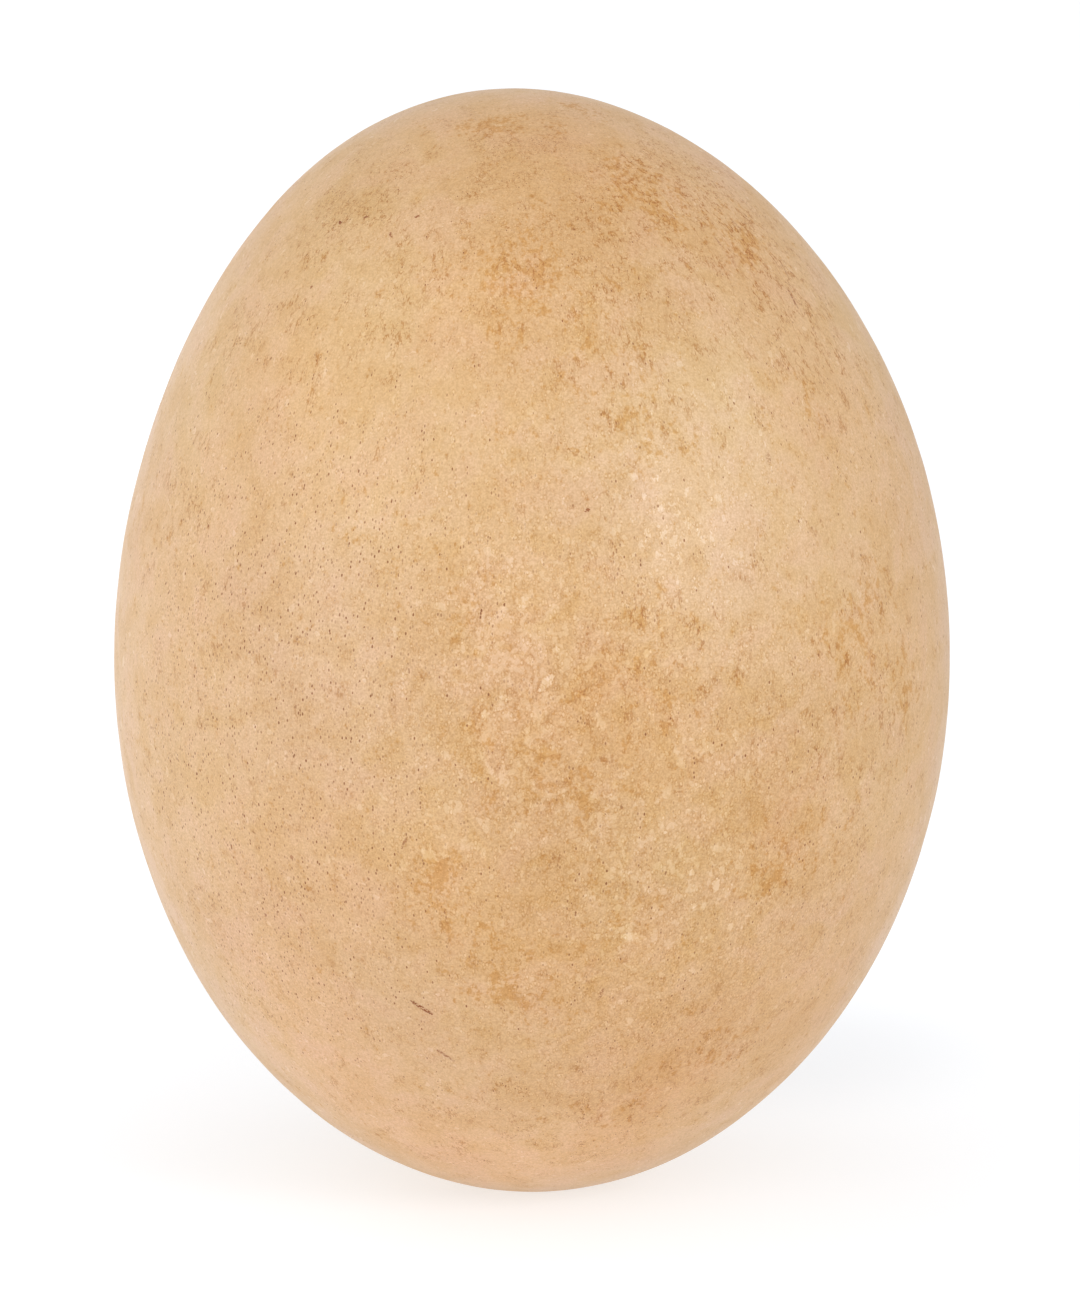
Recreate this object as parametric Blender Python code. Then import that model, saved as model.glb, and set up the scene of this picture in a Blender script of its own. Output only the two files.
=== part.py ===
"""A whole elephant bird egg, standing on its blunt end on a small flat spot.

The egg is one natural piece, so it is one solid: a turned egg outline whose
upper end leans a little to one side, as the real one does. Metres, +Z up. The
origin is on the surface that the egg stands on, under the middle of its box.
"""

import math

import bmesh
import bpy

# Driving dimensions, in metres
STANDING_HEIGHT = 0.300  # from the surface it stands on to its top
WHOLE_LENGTH = 0.302  # pole to pole, before the flat spot is taken off
MIDDLE_RADIUS = 0.1133  # half the width at the middle of the length
TOP_LEAN = 0.0049  # how far the upper pole lies to the -X side of the axis
LEAN_START = 0.31  # share of the half length, above the middle, where the lean begins

# The outline is Preston's egg curve: an ellipse whose width is multiplied by
# 1 + C1 s + C2 s^2 + C3 s^3, where s runs from -1 at the lower pole to +1 at the upper.
TAPER_C1 = -0.029  # narrows the upper end, widens the lower
ENDS_C2 = -0.022  # draws both ends in
TIP_C3 = 0.016  # blunts the upper tip again

SEGMENTS = 72  # round the axis
RINGS = 38  # between the flat spot and the upper pole

HALF_LENGTH = WHOLE_LENGTH / 2
FLAT_DEPTH = WHOLE_LENGTH - STANDING_HEIGHT  # taken off the lower pole


def outline(t):
    """Radius and height above the surface, at the angle t from -90 to 90 degrees."""
    s = math.sin(t)
    widen = 1 + TAPER_C1 * s + ENDS_C2 * s**2 + TIP_C3 * s**3
    return MIDDLE_RADIUS * math.cos(t) * widen, HALF_LENGTH * (1 + s) - FLAT_DEPTH


def lean(z):
    """How far the middle of the egg at height z lies from the axis, along X."""
    s = (z + FLAT_DEPTH) / HALF_LENGTH - 1
    past = max(0.0, (s - LEAN_START) / (1 - LEAN_START))
    return -TOP_LEAN * past**2


def egg_mesh():
    # The flat spot starts where the outline crosses the surface.
    t_flat = math.asin(FLAT_DEPTH / HALF_LENGTH - 1)
    profile = [(0.0, 0.0)]
    for i in range(RINGS):
        profile.append(outline(t_flat + (math.pi / 2 - t_flat) * i / RINGS))
    profile.append((0.0, STANDING_HEIGHT))

    bm = bmesh.new()
    verts = [bm.verts.new((r, 0.0, z)) for r, z in profile]
    edges = [bm.edges.new(pair) for pair in zip(verts, verts[1:])]
    bmesh.ops.spin(
        bm,
        geom=verts + edges,
        cent=(0, 0, 0),
        axis=(0, 0, 1),
        angle=2 * math.pi,
        steps=SEGMENTS,
        use_merge=True,
    )
    bmesh.ops.remove_doubles(bm, verts=bm.verts, dist=1e-5)
    # One flat face under the egg, in place of the fan that the turning leaves there
    under = [v for v in bm.verts if v.co.z < 1e-6 and v.co.xy.length < 1e-6]
    bmesh.ops.dissolve_verts(bm, verts=under)
    for v in bm.verts:
        v.co.x += lean(v.co.z)
    bmesh.ops.recalc_face_normals(bm, faces=bm.faces)
    # Smooth all over but for the rim of the flat spot, which stays crisp
    for face in bm.faces:
        face.smooth = True
    for edge in bm.edges:
        edge.smooth = not (max(v.co.z for v in edge.verts) < 1e-6)

    mesh = bpy.data.meshes.new("egg")
    bm.to_mesh(mesh)
    bm.free()
    return mesh


def shell_material():
    material = bpy.data.materials.new("eggshell")
    material.use_nodes = True
    shader = material.node_tree.nodes["Principled BSDF"]
    shader.inputs["Base Color"].default_value = (0.78, 0.52, 0.30, 1)
    shader.inputs["Roughness"].default_value = 0.55
    shader.inputs["Metallic"].default_value = 0.0
    return material


def main():
    for obj in list(bpy.data.objects):
        bpy.data.objects.remove(obj, do_unlink=True)

    mesh = egg_mesh()
    mesh.materials.append(shell_material())

    egg = bpy.data.objects.new("egg", mesh)
    bpy.context.scene.collection.objects.link(egg)


main()
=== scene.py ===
"""An elephant bird egg on a pale floor: the fine surface of the shell, soft
studio light, and a camera a little above the egg's middle.

Metres, +Z up. The egg stands on its blunter end at the origin; the camera is on
the -Y side, and +X is to its right.
"""

import math

import bpy
import numpy as np
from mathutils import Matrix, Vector, noise
from mathutils.bvhtree import BVHTree


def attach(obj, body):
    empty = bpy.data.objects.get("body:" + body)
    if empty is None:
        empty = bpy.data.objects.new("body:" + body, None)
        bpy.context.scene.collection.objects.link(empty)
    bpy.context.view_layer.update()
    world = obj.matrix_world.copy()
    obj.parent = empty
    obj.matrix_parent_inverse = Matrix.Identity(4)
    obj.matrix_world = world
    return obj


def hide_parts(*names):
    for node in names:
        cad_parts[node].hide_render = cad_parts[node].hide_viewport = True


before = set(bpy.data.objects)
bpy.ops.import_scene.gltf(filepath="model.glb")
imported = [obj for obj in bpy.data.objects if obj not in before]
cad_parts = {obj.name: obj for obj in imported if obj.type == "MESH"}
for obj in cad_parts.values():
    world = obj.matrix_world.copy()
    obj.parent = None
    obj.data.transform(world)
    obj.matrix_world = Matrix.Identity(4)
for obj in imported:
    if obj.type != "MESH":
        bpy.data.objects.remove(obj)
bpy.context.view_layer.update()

# ---------------------------------------------------------------------------
# The egg's form: the same outline as the solid model
# ---------------------------------------------------------------------------
STANDING_HEIGHT = 0.300
HALF_LENGTH = 0.151
FLAT_DEPTH = 2 * HALF_LENGTH - STANDING_HEIGHT
MIDDLE_RADIUS = 0.1133
TAPER_C1, ENDS_C2, TIP_C3 = -0.029, -0.022, 0.016
TOP_LEAN, LEAN_START = 0.0049, 0.31

# ---------------------------------------------------------------------------
# The camera
# ---------------------------------------------------------------------------
WIDE, HIGH = 1080, 1316  # the photograph's frame, in pixels
FOCAL_PX = 7378
CAMERA_RISE = math.radians(12)
CAMERA_AWAY = 2.0
MIDDLE = Vector((0, 0, 0.15))
MIDDLE_PX = (531.9, 640.5)  # where the egg's middle shows in the frame
PX = CAMERA_AWAY / FOCAL_PX  # one pixel of the frame, in metres at the egg

BACK = Vector((0, -math.cos(CAMERA_RISE), math.sin(CAMERA_RISE)))
RIGHT = Vector((1, 0, 0))
UP = Vector((0, math.sin(CAMERA_RISE), math.cos(CAMERA_RISE)))
EYE = MIDDLE + CAMERA_AWAY * BACK


# ---------------------------------------------------------------------------
# The egg's mesh
# ---------------------------------------------------------------------------
def ball(n):
    """A cube of n by n faces a side, blown up to a unit sphere: points and faces."""
    steps = np.tan(np.linspace(-math.pi / 4, math.pi / 4, n + 1))
    index, points, faces = {}, [], []
    for axis in range(3):
        for sign in (-1, 1):
            grid = np.empty((n + 1, n + 1), dtype=int)
            for i, a in enumerate(steps):
                for j, b in enumerate(steps):
                    p = [0.0, 0.0, 0.0]
                    p[axis] = float(sign)
                    p[(axis + 1) % 3] = float(a)
                    p[(axis + 2) % 3] = float(b)
                    key = tuple(round(c, 6) for c in p)
                    if key not in index:
                        index[key] = len(points)
                        points.append(p)
                    grid[i, j] = index[key]
            a, b = grid[:-1, :-1], grid[1:, :-1]
            c, d = grid[1:, 1:], grid[:-1, 1:]
            around = (a, b, c, d) if sign > 0 else (a, d, c, b)
            faces.append(np.stack([k.ravel() for k in around], axis=-1))
    points = np.array(points)
    points /= np.linalg.norm(points, axis=1, keepdims=True)
    return points, np.concatenate(faces)


def form(unit):
    """The egg's surface in the directions of unit, and its slope outwards there."""
    x, y, s = unit.T
    widen = MIDDLE_RADIUS * (1 + TAPER_C1 * s + ENDS_C2 * s**2 + TIP_C3 * s**3)
    past = np.maximum(0.0, (s - LEAN_START) / (1 - LEAN_START))
    z = HALF_LENGTH * (1 + s) - FLAT_DEPTH
    points = np.stack([x * widen - TOP_LEAN * past**2, y * widen, z], axis=-1)
    out = np.stack([x / MIDDLE_RADIUS, y / MIDDLE_RADIUS, s / HALF_LENGTH], axis=-1)
    return points, out / np.linalg.norm(out, axis=1, keepdims=True)


def clouds(points, size, octaves, seed):
    """Soft noise between about -1 and 1, with features of that size in metres."""
    shift = Vector((seed * 1.7, seed * -2.3, seed * 0.9))
    values = (noise.fractal(Vector(p) / size + shift, 1.0, 2.0, octaves) for p in points)
    return np.fromiter(values, dtype=float, count=len(points))


def smooth(values, low, high):
    t = np.clip((values - low) / (high - low), 0, 1)
    return t * t * (3 - 2 * t)


class Shell:
    """The egg's points and faces, and the place of each pixel of the frame on it."""

    def __init__(self):
        self.unit, self.faces = ball(124)
        self.points, self.out = form(self.unit)
        self.look_up()

    def look_up(self):
        self.tree = BVHTree.FromPolygons(self.points.tolist(), self.faces.tolist())

    def at(self, u, v):
        """The point of the shell that shows at the pixel (u, v)."""
        ray = RIGHT * ((u - MIDDLE_PX[0]) / FOCAL_PX) - BACK
        ray += UP * ((MIDDLE_PX[1] - v) / FOCAL_PX)
        return self.tree.ray_cast(EYE, ray.normalized())[0]

    def patches(self, where, spots):
        """Soft patches summed at the points where; each spot is u, v, radius and strength, in pixels."""
        total = np.zeros(len(where))
        for u, v, radius, strength in spots:
            centre = np.array(self.at(u, v))
            away = np.sum((where - centre) ** 2, axis=1)
            total += strength * np.exp(-away / (2 * (radius * PX) ** 2))
        return total

    def shape(self):
        """Gives the shell its slight unevenness and its worn flat spot."""
        p = self.points
        height = 0.00016 * clouds(p, 0.055, 2, 3)
        height += 0.00005 * clouds(p, 0.010, 3, 11)
        # Flatter and fuller stretches of the outline, as the photograph shows them
        height += 0.001 * self.patches(p, SWELLS)
        height -= 0.0002
        self.points = p + self.out * height[:, None]
        z = self.points[:, 2]
        z = 0.5 * (z + np.sqrt(z * z + 0.0003**2))
        self.points[:, 2] = z - z.min()
        self.look_up()

    def mesh(self):
        mesh = bpy.data.meshes.new("eggshell")
        n = len(self.faces)
        mesh.vertices.add(len(self.points))
        mesh.vertices.foreach_set("co", self.points.astype(np.float32).ravel())
        mesh.loops.add(n * 4)
        mesh.loops.foreach_set("vertex_index", self.faces.astype(np.int32).ravel())
        mesh.polygons.add(n)
        mesh.polygons.foreach_set("loop_start", np.arange(0, n * 4, 4, dtype=np.int32))
        mesh.update(calc_edges=True)
        mesh.validate()
        mesh.shade_smooth()
        return mesh


# Where the outline stands a little out or in from the smooth form: u, v, radius, mm
SWELLS = [
    (330, 175, 70, 0.5),
    (480, 100, 60, 0.2),
    (790, 250, 60, -0.4),
    (150, 440, 60, -0.3),
    (945, 660, 120, 0.1),
    (240, 1003, 90, 0.7),
    (350, 1112, 60, 0.4),
    (725, 1100, 60, -0.5),
]

# Tints of the shell, some of them painted light and shade, as u, v, radius and strength
TAN = [
    (540, 230, 70, 0.35),
    (540, 130, 60, 0.9),
    (440, 140, 50, 0.4),
    (630, 185, 45, 0.7),
    (745, 235, 45, 0.6),
    (560, 330, 60, 0.3),
    (680, 1000, 90, 0.4),
    (400, 900, 90, 0.25),
    (580, 700, 70, 0.35),
    (560, 800, 70, 0.4),
    (680, 770, 50, 0.3),
    (780, 830, 45, 0.8),
    (440, 880, 45, 0.5),
    (500, 680, 60, 0.3),
    (560, 950, 60, 0.6),
    (660, 1090, 60, 0.9),
    (625, 1150, 40, 0.5),
    (790, 1010, 60, 0.5),
    (865, 650, 45, 0.5),
    (930, 720, 60, 0.5),
    (900, 860, 60, 0.6),
    (835, 990, 50, 0.6),
    (790, 1065, 50, 0.5),
    (140, 520, 40, 0.8),
    (270, 210, 50, 0.5),
    (330, 195, 60, 0.5),
    (925, 640, 50, 0.3),
    (250, 850, 60, 0.2),
]
OLIVE = [
    (330, 200, 60, 0.8),
    (200, 400, 50, 0.8),
    (390, 320, 60, 0.6),
    (700, 380, 60, 0.6),
    (850, 320, 50, 0.7),
    (660, 870, 60, 0.6),
    (420, 800, 50, 0.5),
    (850, 560, 40, 0.5),
]
ROSE = [
    (300, 640, 80, 0.5),
    (240, 930, 90, 0.8),
    (370, 1070, 90, 0.7),
    (640, 1060, 80, 0.7),
    (800, 950, 80, 0.5),
    (900, 480, 60, 0.6),
    (330, 800, 60, 0.5),
    (470, 620, 50, 0.3),
    (170, 640, 50, 0.4),
]
# Pale patches: the shell's own paler tone, and painted highlight where the soft highlights fall round
# (720, 520) and (370, 510), and painted light from the floor low on the left
PALE_AND_HIGHLIGHT = [
    (720, 520, 60, 1.1),
    (370, 510, 50, 0.7),
    (700, 400, 50, 0.8),
    (790, 560, 60, 0.9),
    (780, 480, 60, 0.6),
    (790, 620, 50, 0.5),
    (700, 440, 60, 0.5),
    (290, 1060, 60, 0.6),
    (230, 480, 50, 0.3),
    (180, 880, 50, 0.4),
    (600, 440, 60, 0.8),
    (250, 1010, 50, 0.4),
    (300, 1030, 60, 1.1),
]
# Painted light: patches lighter where light from the floor falls on the underside, and a few spots higher
# up
PAINTED_LIGHT = [
    (460, 1155, 60, 1.0),
    (560, 1165, 50, 0.6),
    (330, 1085, 60, 0.6),
    (650, 1130, 50, 0.3),
    (300, 1000, 50, 0.3),
    (300, 370, 60, 0.4),
    (470, 290, 45, 0.4),
    (780, 1080, 40, 0.4),
]
# Painted shade: darker patches on the left side, the left rim and the middle
PAINTED_SHADE = [
    (300, 620, 70, 0.8),
    (300, 740, 60, 0.7),
    (390, 690, 60, 0.6),
    (470, 690, 45, 0.4),
    (540, 680, 40, 0.5),
    (570, 830, 70, 0.9),
    (400, 920, 60, 0.5),
    (380, 1000, 45, 0.6),
    (620, 520, 45, 0.5),
    (140, 520, 35, 0.6),
    (720, 600, 40, 0.3),
]
# Where each kind of mark gathers
PORES = [
    (250, 600, 120, 0.9),
    (300, 850, 110, 1.0),
    (180, 760, 80, 0.8),
    (360, 560, 80, 0.6),
    (300, 960, 60, 0.6),
    (880, 420, 60, 0.4),
]
GRIT = [
    (500, 640, 110, 0.5),
    (620, 700, 130, 0.5),
    (590, 860, 140, 0.6),
    (740, 900, 110, 0.5),
    (800, 700, 90, 0.4),
    (620, 1060, 100, 0.4),
    (600, 420, 80, 0.4),
    (540, 250, 70, 0.3),
]
VEINS = [
    (760, 260, 70, 1.0),
    (830, 360, 60, 0.8),
    (650, 190, 50, 0.7),
    (860, 620, 60, 0.4),
    (330, 210, 50, 0.8),
    (250, 330, 60, 0.6),
    (400, 280, 60, 0.5),
    (180, 500, 60, 0.4),
    (665, 150, 40, 0.8),
    (720, 185, 40, 0.8),
    (430, 200, 50, 0.4),
    (520, 150, 60, 0.5),
    (590, 250, 60, 0.4),
    (650, 310, 60, 0.4),
    (330, 360, 60, 0.5),
    (450, 1140, 80, 0.4),
    (580, 1120, 80, 0.4),
    (690, 1080, 50, 0.3),
    (340, 1080, 50, 0.3),
    (700, 640, 90, 0.4),
    (850, 760, 70, 0.4),
    (620, 480, 80, 0.3),
    (200, 650, 90, 0.3),
]
CLUMPS = [
    (489, 128, 22, 1.1),
    (555, 126, 12, 1.4),
    (593, 112, 14, 1.4),
    (610, 165, 20, 0.9),
    (545, 240, 45, 0.5),
    (510, 275, 32, 1.0),
    (640, 195, 32, 0.9),
    (660, 200, 20, 0.5),
    (745, 235, 32, 1.3),
    (590, 330, 45, 0.5),
    (600, 400, 40, 0.5),
    (645, 430, 25, 0.7),
    (805, 402, 18, 1.0),
    (862, 600, 30, 0.9),
    (900, 690, 30, 0.9),
    (850, 670, 30, 0.7),
    (640, 640, 35, 0.5),
    (460, 590, 35, 0.5),
    (680, 690, 35, 0.5),
    (590, 790, 50, 0.5),
    (550, 810, 25, 0.7),
    (445, 895, 26, 1.5),
    (500, 740, 35, 0.5),
    (775, 860, 35, 1.0),
    (620, 910, 30, 0.7),
    (505, 985, 22, 1.0),
    (540, 1020, 30, 0.5),
    (720, 1050, 35, 0.8),
    (620, 1110, 40, 0.6),
    (480, 960, 30, 0.4),
]
FLAKES = [
    (510, 600, 45, 1.0),
    (560, 690, 40, 1.1),
    (500, 640, 40, 0.9),
    (500, 730, 30, 0.8),
    (620, 560, 40, 0.5),
    (715, 765, 35, 1.0),
    (640, 920, 50, 1.1),
    (720, 880, 35, 1.0),
    (430, 850, 35, 1.0),
    (700, 520, 40, 0.6),
    (560, 780, 50, 0.7),
    (640, 830, 50, 0.8),
    (730, 1035, 20, 0.8),
    (480, 800, 40, 0.5),
]


def paint(shell):
    """What the shell's material mixes, by attribute name: a value to each point of the mesh."""
    p = shell.points
    warp = np.stack([clouds(p, 0.016, 3, seed) for seed in (21, 22, 23)], axis=-1)
    where = p + 0.006 * warp
    # The far side has patches of the same sizes, which no photograph shows
    behind = smooth(p[:, 1], -0.02, 0.03)

    def zone(spots, size, seed, low, high, front=0.25):
        far = smooth(clouds(where, size, 3, seed), low, high)
        return shell.patches(where, spots) + far * (front + (1 - front) * behind)

    tints = [
        zone(TAN, 0.045, 31, 0.0, 0.7),
        zone(OLIVE, 0.050, 32, 0.0, 0.7),
        zone(ROSE, 0.055, 33, 0.0, 0.7),
        # Pale tone and painted highlight
        zone(PALE_AND_HIGHLIGHT, 0.040, 34, 0.15, 0.8, front=0.1),
    ]
    marks = [
        zone(PORES, 0.060, 41, -0.1, 0.6),
        zone(VEINS, 0.045, 42, 0.1, 0.7, front=0.2),
        zone(CLUMPS, 0.028, 43, 0.15, 0.65, front=0.2),
        zone(FLAKES, 0.032, 44, 0.15, 0.7, front=0.1),
    ]
    hazes = [
        clouds(where, 0.011, 3, 51),
        clouds(where, 0.007, 3, 52),
        clouds(p, 0.0055, 2, 54),
        np.minimum(1, zone(GRIT, 0.070, 45, -0.1, 0.6)),
    ]
    # Places along and round the egg, so that marks can run from pole to pole
    x, y, s = shell.unit.T
    turn = np.arctan2(y, x)
    wide = 0.1 * np.sin(np.pi / 2 * np.minimum(1, np.hypot(x, y) / 0.88))
    along = np.arcsin(np.clip(s, -1, 1)) * 0.132
    run = [wide * np.cos(turn), wide * np.sin(turn), along]
    broad = [clouds(p, 0.024, 2, 53)]
    # Painted light and painted shade, as patches
    painted_light, painted_shade = [shell.patches(where, PAINTED_LIGHT)], [shell.patches(where, PAINTED_SHADE)]
    made = {"tints": tints, "marks": marks, "hazes": hazes, "run": run}
    made = {**made, "broad": broad, "painted_light": painted_light, "painted_shade": painted_shade}
    return {**made, **stamps(shell)}


def stamps(shell):
    """Places of the mesh's points relative to the nearest of the single strokes.

    place holds how far along and across the stroke a point is, and 1 where a stroke
    is near; size holds the stroke's half length, half width and strength.
    """
    p = shell.points
    place, size = np.zeros((len(p), 3)), np.zeros((len(p), 3))
    nearest = np.full(len(p), np.inf)
    for u0, v0, u1, v1, wide, strength in STROKES:
        a, b = np.array(shell.at(u0, v0)), np.array(shell.at(u1, v1))
        middle, half = (a + b) / 2, np.linalg.norm(b - a) / 2
        ahead = (b - a) / (2 * half)
        out = shell.out[np.argmin(np.sum((p - middle) ** 2, axis=1))]
        aside = np.cross(out, ahead)
        along, across = (p - middle) @ ahead, (p - middle) @ aside
        away = np.hypot(np.maximum(0, np.abs(along) - half), across)
        height = (p - middle) @ out
        near = (away < wide * PX + 0.0024) & (np.abs(height) < 0.01) & (away < nearest)
        nearest[near] = away[near]
        place[near] = np.stack([along, across, np.ones(len(p))], axis=-1)[near]
        size[near] = (half, wide * PX, strength)
    return {"stroke_place": place.T, "stroke_size": size.T}


def add_attribute(mesh, name, rows):
    values = np.stack(list(rows), axis=-1).astype(np.float32)
    kinds = {1: ("FLOAT", "value"), 3: ("FLOAT_VECTOR", "vector"), 4: ("FLOAT_COLOR", "color")}
    kind, key = kinds[len(rows)]
    mesh.attributes.new(name, kind, "POINT").data.foreach_set(key, values.ravel())


# ---------------------------------------------------------------------------
# The shell's material
# ---------------------------------------------------------------------------
class Graph:
    """Short names for the nodes that the shell's material and the world are made of."""

    def __init__(self, made):
        self.tree = made.node_tree

    def put(self, socket, value):
        if isinstance(value, bpy.types.NodeSocket):
            self.tree.links.new(value, socket)
        else:
            socket.default_value = value

    def node(self, kind, inputs=(), **settings):
        made = self.tree.nodes.new(kind)
        for key, value in settings.items():
            setattr(made, key, value)
        for key, value in dict(inputs).items():
            self.put(made.inputs[key], value)
        return made

    def math(self, operation, a, b=0.0, c=0.0):
        inputs = {0: a, 1: b, 2: c}
        return self.node("ShaderNodeMath", inputs, operation=operation).outputs[0]

    def product(self, *values):
        total = values[0]
        for value in values[1:]:
            total = self.math("MULTIPLY", total, value)
        return total

    def vector(self, operation, a, b=(0, 0, 0), out=0):
        made = self.node("ShaderNodeVectorMath", {0: a, 1: b}, operation=operation)
        return made.outputs[out]

    def step(self, value, low, high, to_low=0.0, to_high=1.0):
        """to_low below low, to_high above high, and a smooth change between."""
        inputs = {
            "Value": value,
            "From Min": low,
            "From Max": high,
            "To Min": to_low,
            "To Max": to_high,
        }
        made = self.node("ShaderNodeMapRange", inputs, interpolation_type="SMOOTHSTEP")
        return made.outputs[0]

    def noise(self, place, size, detail=2.0, rough=0.5, bend=0.0, colour=False):
        inputs = {
            "Vector": place,
            "Scale": 1 / size,
            "Detail": detail,
            "Roughness": rough,
            "Distortion": bend,
        }
        made = self.node("ShaderNodeTexNoise", inputs, noise_dimensions="3D")
        return made.outputs["Color" if colour else "Fac"]

    def cells(self, place, size, feature="F1", randomness=1.0):
        inputs = {"Vector": place, "Scale": 1 / size, "Randomness": randomness}
        return self.node("ShaderNodeTexVoronoi", inputs, feature=feature)

    def tint(self, amount, colour, by):
        """colour multiplied by the colour by, as far as amount says."""
        made = self.node("ShaderNodeMix", data_type="RGBA", blend_type="MULTIPLY")
        self.put(made.inputs["Factor"], amount)
        self.put(made.inputs[6], colour)
        self.put(made.inputs[7], (*by, 1))
        return made.outputs[2]

    def attribute(self, name):
        return self.node("ShaderNodeAttribute", attribute_name=name)

    def colours(self, colour):
        return self.node("ShaderNodeSeparateColor", {0: colour}).outputs[:3]

    def split(self, vector):
        return self.node("ShaderNodeSeparateXYZ", {0: vector}).outputs[:3]

    def channels(self, name):
        made = self.attribute(name)
        split = self.node("ShaderNodeSeparateColor", {0: made.outputs["Color"]})
        return (*split.outputs[:3], made.outputs["Alpha"])


def shell_material():
    material = bpy.data.materials.new("eggshell")
    material.use_nodes = True
    g = Graph(material)
    shader = g.tree.nodes["Principled BSDF"]
    place = g.node("ShaderNodeTexCoord").outputs["Object"]
    run = g.attribute("run").outputs["Vector"]
    tan, olive, rose, pale_and_highlight = g.channels("tints")
    pores, veins, clumps, flakes = g.channels("marks")
    mottle, haze, small, grit = g.channels("hazes")
    broad = g.attribute("broad").outputs["Fac"]
    painted_light = g.attribute("painted_light").outputs["Fac"]
    painted_shade = g.attribute("painted_shade").outputs["Fac"]

    curd = g.noise(g.vector("MULTIPLY", run, (1, 1, 0.7)), 0.0024, 3, 0.62)
    grain = g.noise(place, 0.0011, 1, 0.6)
    sand = g.noise(place, 0.0005, 0)

    # Stain: granular clumps of ochre, more of them where clumps is high
    level = g.math("MULTIPLY_ADD", clumps, -0.20, 0.70)
    level = g.math("MULTIPLY_ADD", haze, -0.10, level)
    stain = g.math("SUBTRACT", g.math("MULTIPLY_ADD", grain, 0.5, curd), level)
    stain = g.step(stain, 0.20, 0.36)

    # Veins: thin broken lines that branch and run roughly from pole to pole
    long_way = g.vector("MULTIPLY", run, (1, 1, 0.45))
    wander = g.noise(long_way, 0.0036, 3, 0.68)
    ridge = g.math("ABSOLUTE", g.math("SUBTRACT", wander, 0.5))
    ridge = g.step(ridge, 0.008, 0.030, 1.0, 0.0)
    level = g.math("MULTIPLY_ADD", veins, -0.55, 0.46)
    level = g.math("MULTIPLY_ADD", clumps, -0.20, level)
    there = g.step(g.math("SUBTRACT", small, level), -0.40, 0.28)
    vein = g.product(ridge, there, g.step(curd, 0.40, 0.55, 0.25, 1.0))

    # Pores: dots and short dashes, each in its own cell; a few are deeper holes
    cell = g.cells(g.vector("MULTIPLY", run, (1, 1, 0.6)), 0.00092)
    chance, depth, _ = g.colours(cell.outputs["Color"])
    share = g.math("MULTIPLY_ADD", pores, 0.72, 0.10)
    share = g.math("MULTIPLY_ADD", small, 0.55, share)
    there = g.math("LESS_THAN", chance, share)
    away = g.math("MULTIPLY_ADD", g.math("SUBTRACT", sand, 0.5), 0.25, cell.outputs["Distance"])
    deep = g.math("LESS_THAN", chance, g.math("MULTIPLY_ADD", pores, 0.055, 0.002))
    depth = g.math("MAXIMUM", g.product(depth, depth), deep)
    depth = g.math("MULTIPLY_ADD", depth, 0.64, 0.27)
    pore = g.product(g.step(away, 0.15, 0.30, 1.0, 0.0), there, depth)
    # A pale rim round each pore: painted highlight where light catches the pit's edge
    pore_rim_highlight = g.product(g.step(away, 0.56, 0.42), g.step(away, 0.28, 0.38), there)
    # Beads: pale grains with a darker outline, in other cells
    level = g.math("MULTIPLY_ADD", grit, -0.42, 0.94)
    bead = g.math("GREATER_THAN", chance, level)
    ring = g.product(g.step(away, 0.28, 0.40), g.step(away, 0.60, 0.46), bead)
    bead = g.product(g.step(away, 0.34, 0.20), bead)

    # Flakes: pale bare islands with a crisp outline, and small ones where the curd is thin; the darker
    # band round each is painted shade at its edge
    island = g.noise(place, 0.0034, 2, 0.5)
    island = g.math("MULTIPLY_ADD", flakes, 0.10, island)
    island = g.math("MULTIPLY_ADD", g.math("SUBTRACT", grain, 0.5), 0.06, island)
    bare = g.step(island, 0.695, 0.71)
    flake_edge_shade = g.product(g.step(island, 0.645, 0.68), g.step(island, 0.68, 0.70, 1.0, 0.0))
    thin = g.math("MULTIPLY_ADD", flakes, 0.05, g.math("SUBTRACT", 1.0, curd))
    thin = g.math("MULTIPLY_ADD", g.math("SUBTRACT", grain, 0.5), 0.08, thin)
    bare = g.math("MAXIMUM", bare, g.step(thin, 0.655, 0.68))
    flake_edge_shade = g.math("MAXIMUM", flake_edge_shade, g.product(g.step(thin, 0.56, 0.61), g.step(thin, 0.61, 0.65, 1.0, 0.0)))

    # Single strokes and dots that stand out in the photograph
    spot, size = g.attribute("stroke_place"), g.attribute("stroke_size")
    along, across, near = g.split(spot.outputs["Vector"])
    half, wide, strength = g.split(size.outputs["Vector"])
    past = g.math("SUBTRACT", g.math("ABSOLUTE", along), half)
    past = g.math("MAXIMUM", past, 0.0)
    away = g.math("SQRT", g.math("ADD", g.product(past, past), g.product(across, across)))
    away = g.math("MULTIPLY_ADD", g.math("SUBTRACT", grain, 0.5), 0.0010, away)
    away = g.math("MULTIPLY_ADD", g.math("SUBTRACT", sand, 0.5), 0.0009, away)
    # A longer stroke is thinner towards its ends
    share = g.math("DIVIDE", along, g.math("MAXIMUM", half, 0.0008))
    share = g.math("MINIMUM", g.product(share, share), 1.0)
    wide = g.product(wide, g.math("MULTIPLY_ADD", share, -0.55, 1.0))
    away = g.math("DIVIDE", away, g.math("MAXIMUM", wide, 0.0001))
    stroke = g.product(g.step(away, 0.6, 1.1, 1, 0), g.math("GREATER_THAN", near, 0.97))
    crumbs = g.step(sand, 0.40, 0.52, 0.25, 1.0)
    crumbs = g.math("MAXIMUM", crumbs, g.math("LESS_THAN", half, 0.0008))
    dark = g.product(stroke, crumbs, g.math("MAXIMUM", strength, 0.0))
    strength = g.math("MAXIMUM", g.math("MULTIPLY", strength, -1.0), 0.0)
    bright = g.product(stroke, strength)
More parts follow.
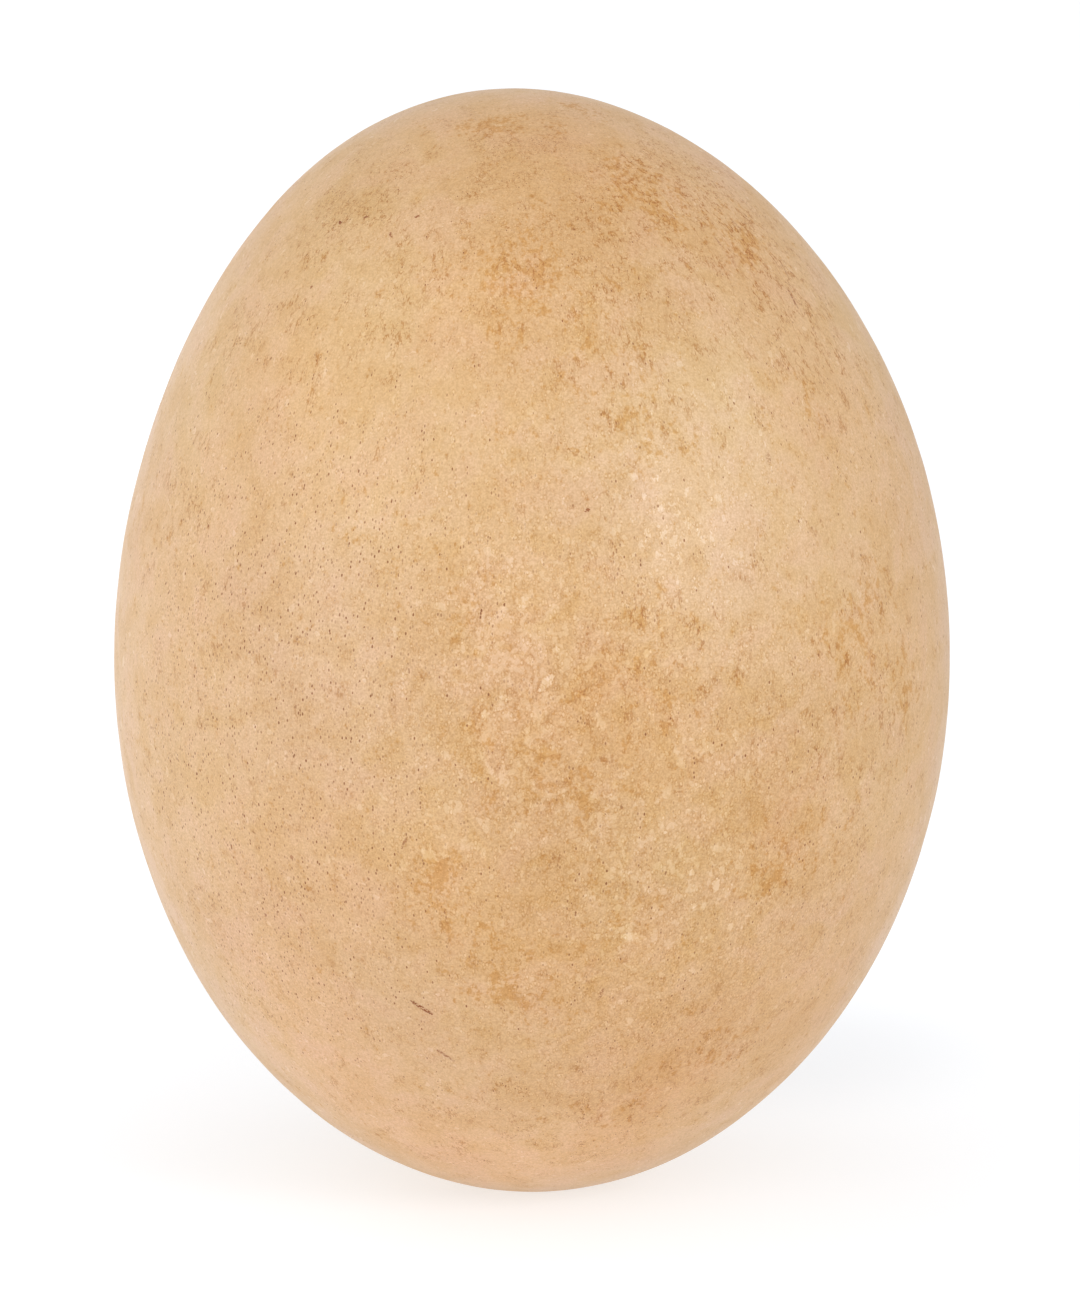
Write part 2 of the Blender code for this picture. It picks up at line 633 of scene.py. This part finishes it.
    # A darker band round each pale stroke: painted shade at the flake's edge
    outline = g.product(g.step(away, 1.0, 1.25), g.step(away, 1.35, 1.9, 1.0, 0.0), strength)
    outline = g.product(outline, g.math("GREATER_THAN", near, 0.97))

    # Colour: broad tints, then hazes, then grain, then marks
    colour = g.node("ShaderNodeRGB")
    colour.outputs[0].default_value = (*SHELL, 1)
    colour = colour.outputs[0]
    colour = g.tint(g.math("MULTIPLY", tan, 0.75), colour, (0.965, 0.87, 0.70))
    colour = g.tint(g.math("MULTIPLY", olive, 0.9), colour, (0.985, 1.02, 0.97))
    colour = g.tint(g.math("MULTIPLY", rose, 0.9), colour, (0.99, 0.955, 0.98))
    # Paler, bluish tone: partly the shell's own, partly painted highlight
    colour = g.tint(g.math("MULTIPLY", pale_and_highlight, 0.65), colour, (1.04, 1.085, 1.17))
    # Painted light
    colour = g.tint(painted_light, colour, (1.13, 1.08, 1.06))
    # Painted shade
    colour = g.tint(painted_shade, colour, (0.94, 0.935, 0.95))
    colour = g.tint(g.step(broad, -0.6, 0.6), colour, (0.97, 0.955, 0.93))
    colour = g.tint(g.step(mottle, -0.2, 0.6), colour, (0.96, 0.93, 0.84))
    colour = g.tint(g.step(mottle, 0.1, -0.6), colour, (1.0, 0.98, 1.02))
    tinted = g.product(g.step(haze, -0.1, 0.5), g.math("MULTIPLY_ADD", grit, 0.7, 0.3))
    colour = g.tint(tinted, colour, (0.965, 0.935, 0.82))
    colour = g.tint(g.step(small, -0.5, 0.5), colour, (0.985, 0.98, 0.95))
    colour = g.tint(g.step(curd, 0.40, 0.66), colour, (0.97, 0.95, 0.91))
    # The grain is smoother where the shell is bare
    strength = g.math("MULTIPLY_ADD", grit, 0.32, 0.68)
    smoother = g.math("MAXIMUM", g.math("MULTIPLY", bare, 0.45), g.step(bright, 0.0, 0.5))
    strength = g.product(strength, g.math("SUBTRACT", 1.0, smoother))
    tinted = g.product(g.step(grain, 0.28, 0.72), strength)
    colour = g.tint(tinted, colour, (0.91, 0.89, 0.85))
    tinted = g.product(g.step(sand, 0.30, 0.70), strength)
    colour = g.tint(tinted, colour, (0.86, 0.82, 0.75))
    colour = g.tint(g.math("MULTIPLY", stain, 0.75), colour, (0.89, 0.745, 0.44))
    vein = g.product(vein, g.math("MULTIPLY_ADD", veins, 0.38, 0.50))
    colour = g.tint(vein, colour, (0.64, 0.42, 0.14))
    # Painted shade round the flakes
    colour = g.tint(g.math("MULTIPLY", flake_edge_shade, 0.6), colour, (0.91, 0.84, 0.70))
    colour = g.tint(g.math("MULTIPLY", bare, 0.9), colour, (1.045, 1.10, 1.21))
    # Painted highlight on the pore rims
    colour = g.tint(g.math("MULTIPLY", pore_rim_highlight, 0.8), colour, (1.07, 1.09, 1.13))
    colour = g.tint(g.math("MULTIPLY", bead, 0.8), colour, (1.08, 1.14, 1.22))
    colour = g.tint(g.math("MULTIPLY", ring, 0.7), colour, (0.85, 0.74, 0.52))
    colour = g.tint(pore, colour, (0.33, 0.14, 0.0))
    colour = g.tint(g.math("MULTIPLY", outline, 0.9), colour, (0.88, 0.79, 0.62))
    colour = g.tint(dark, colour, (0.39, 0.15, 0.0))
    colour = g.tint(bright, colour, (1.06, 1.17, 1.36))
    g.put(shader.inputs["Base Color"], colour)

    # Sheen of the polished shell, duller in the stains and pits
    rough = g.math("MULTIPLY_ADD", mottle, 0.05, 0.43)
    rough = g.math("MULTIPLY_ADD", stain, 0.12, rough)
    rough = g.math("MULTIPLY_ADD", bare, -0.08, rough)
    rough = g.math("MULTIPLY_ADD", pore, 0.2, rough)
    g.put(shader.inputs["Roughness"], rough)

    # Relief, in metres
    relief = g.math("MULTIPLY", grain, 0.00009)
    bump = g.node("ShaderNodeBump", {"Height": relief, "Distance": 1.0, "Strength": 1.0})
    g.put(shader.inputs["Normal"], bump.outputs[0])
    return material


SHELL = (0.680, 0.453, 0.258)  # the clean shell's colour

# Lines and dots: u0, v0, u1, v1, half width in pixels, and strength, below 0 for pale ones
STROKES = [
    (411, 1001, 432, 1014, 2.8, 1.0),
    (437, 1050, 454, 1061, 2.1, 0.7),
    (598, 1000, 604, 988, 1.9, 0.6),
    (402, 848, 407, 837, 1.8, 0.6),
    (587, 510, 588, 511, 2.0, 0.9),
    (340, 222, 341, 223, 1.5, 1.0),
    (364, 218, 368, 217, 1.6, 0.9),
    (390, 233, 392, 237, 2.0, 0.9),
    (415, 217, 419, 216, 1.6, 0.9),
    (312, 286, 311, 288, 1.2, 0.8),
    (787, 288, 798, 308, 1.6, 0.8),
    (780, 261, 790, 280, 1.5, 0.6),
    (713, 235, 725, 250, 1.5, 0.6),
    (730, 218, 742, 231, 1.3, 0.5),
    (768, 452, 769, 464, 4.0, 0.35),
    (300, 914, 305, 923, 1.5, 0.7),
    (265, 914, 266, 916, 1.5, 0.6),
    (291, 856, 292, 858, 1.5, 0.6),
    (540, 690, 553, 676, 4.5, -0.9),
    (530, 657, 531, 664, 4.0, -0.7),
    (556, 648, 556, 652, 4.0, -0.6),
    (575, 694, 588, 699, 3.0, -0.6),
    (485, 711, 485, 718, 4.0, -0.7),
    (519, 600, 526, 604, 8.0, -0.35),
    (647, 650, 647, 656, 3.5, -0.5),
    (500, 697, 510, 699, 3.0, -0.5),
    (526, 730, 528, 731, 4.0, -0.5),
    (424, 852, 434, 860, 8.0, -0.4),
    (717, 879, 715, 891, 4.5, -0.7),
    (692, 871, 691, 875, 4.0, -0.5),
    (693, 905, 695, 906, 4.0, -0.5),
    (622, 936, 645, 938, 4.5, -0.5),
    (595, 935, 597, 938, 4.0, -0.5),
    (730, 925, 731, 928, 4.5, -0.5),
    (703, 816, 703, 820, 3.0, -0.6),
    (661, 974, 663, 976, 4.0, -0.4),
    (684, 163, 685, 164, 2.0, -1.0),
    (676, 313, 677, 314, 1.7, -0.9),
    (740, 850, 741, 851, 1.7, -0.9),
    (664, 832, 665, 833, 1.7, -0.9),
]

shell = Shell()
shell.shape()
egg_mesh = shell.mesh()
for name, rows in paint(shell).items():
    add_attribute(egg_mesh, name, rows)
egg_mesh.materials.append(shell_material())
egg = bpy.data.objects.new("eggshell", egg_mesh)
bpy.context.scene.collection.objects.link(egg)
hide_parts("egg")
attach(egg, "root")


# ---------------------------------------------------------------------------
# Floor, light and camera
# ---------------------------------------------------------------------------
def floor_material():
    """A pale table top that glows as if lit from below, more in front and on the left; the glow is painted
    light, with a painted shadow behind the egg on the right and a painted pool of light in front of its
    foot.
    """
    material = bpy.data.materials.new("pale_floor")
    material.use_nodes = True
    g = Graph(material)
    shader = g.tree.nodes["Principled BSDF"]
    shader.inputs["Base Color"].default_value = (0.44, 0.46, 0.49, 1)
    shader.inputs["Roughness"].default_value = 0.7
    shader.inputs["Specular IOR Level"].default_value = 0.1
    shader.inputs["Emission Color"].default_value = (1, 1, 1, 1)
    place = g.node("ShaderNodeTexCoord").outputs["Object"]
    x, y, _ = g.split(place)
    strength = g.step(x, -0.4, -0.02, 0.76, 0.58)
    beside = g.math("MULTIPLY_ADD", y, -0.075, x)
    strength = g.math("ADD", strength, g.step(beside, 0.17, 0.40, 0.0, -0.25))
    front = g.product(g.step(y, -0.8, -0.22, 1.0, 0.0), g.step(x, -0.3, 0.3, 0.60, 0.12))
    strength = g.math("ADD", strength, front)
    # Painted shadow: less glow behind the egg on its right
    shade = g.vector("DISTANCE", place, (0.065, 0.13, 0), out=1)
    strength = g.math("SUBTRACT", strength, g.step(shade, 0.02, 0.09, 0.08, 0.0))
    # Painted light: more glow just in front of the egg's foot
    painted_light_away = g.vector("DISTANCE", place, (-0.005, -0.06, 0), out=1)
    strength = g.math("ADD", strength, g.step(painted_light_away, 0.03, 0.13, 0.06, 0.0))
    g.put(shader.inputs["Emission Strength"], strength)
    return material


def make_floor():
    mesh = bpy.data.meshes.new("floor")
    half = 12.0
    corners = [(-half, -half, 0), (half, -half, 0), (half, half, 0), (-half, half, 0)]
    mesh.from_pydata(corners, [], [(0, 1, 2, 3)])
    mesh.materials.append(floor_material())
    floor = bpy.data.objects.new("floor", mesh)
    bpy.context.scene.collection.objects.link(floor)


def softbox(name, azimuth, elevation, away, wide, high, watts):
    """A soft light; azimuth turns from the camera's side towards +X, in degrees."""
    light = bpy.data.lights.new(name, "AREA")
    light.shape = "RECTANGLE"
    light.size, light.size_y = wide, high
    light.energy = watts
    a, e = math.radians(azimuth), math.radians(elevation)
    offset = Vector((math.sin(a) * math.cos(e), -math.cos(a) * math.cos(e), math.sin(e)))
    lamp = bpy.data.objects.new(name, light)
    lamp.location = MIDDLE + offset * away
    lamp.rotation_euler = (-offset).to_track_quat("-Z", "Y").to_euler()
    bpy.context.scene.collection.objects.link(lamp)


def make_world(level, from_left, behind, behind_left):
    """White all round, with less light from the right, above all from behind on the right."""
    world = bpy.data.worlds.new("studio")
    world.use_nodes = True
    g = Graph(world)
    background = g.tree.nodes["Background"]
    background.inputs["Color"].default_value = (1, 1, 1, 1)
    x, y, _ = g.split(g.node("ShaderNodeTexCoord").outputs["Generated"])
    back = g.math("MAXIMUM", y, 0.0)
    back = g.product(back, back)
    strength = g.math("MULTIPLY_ADD", x, -from_left, level)
    side = g.math("MULTIPLY_ADD", x, -behind_left, behind)
    strength = g.math("MULTIPLY_ADD", back, side, strength)
    g.put(background.inputs["Strength"], g.math("MAXIMUM", strength, 0.05))
    bpy.context.scene.world = world


def make_camera():
    camera = bpy.data.cameras.new("camera")
    camera.lens = FOCAL_PX * 36 / HIGH
    camera.sensor_width = 36
    camera.clip_start, camera.clip_end = 0.1, 100
    eye = bpy.data.objects.new("camera", camera)
    # Turned so that the egg's middle shows at MIDDLE_PX
    scale = CAMERA_AWAY / FOCAL_PX
    aim = MIDDLE + RIGHT * ((WIDE / 2 - MIDDLE_PX[0]) * scale)
    aim -= UP * ((HIGH / 2 - MIDDLE_PX[1]) * scale)
    eye.location = EYE
    eye.rotation_euler = (aim - EYE).to_track_quat("-Z", "Y").to_euler()
    bpy.context.scene.collection.objects.link(eye)
    bpy.context.scene.camera = eye


make_floor()
make_world(0.95, 0.09, -0.10, 0.25)
softbox("light_right", 43, 20, 1.6, 0.4, 0.5, 6.6)
softbox("light_left", -52, 5, 1.6, 0.4, 0.5, 3.1)
make_camera()
bpy.context.scene.view_settings.view_transform = "Standard"
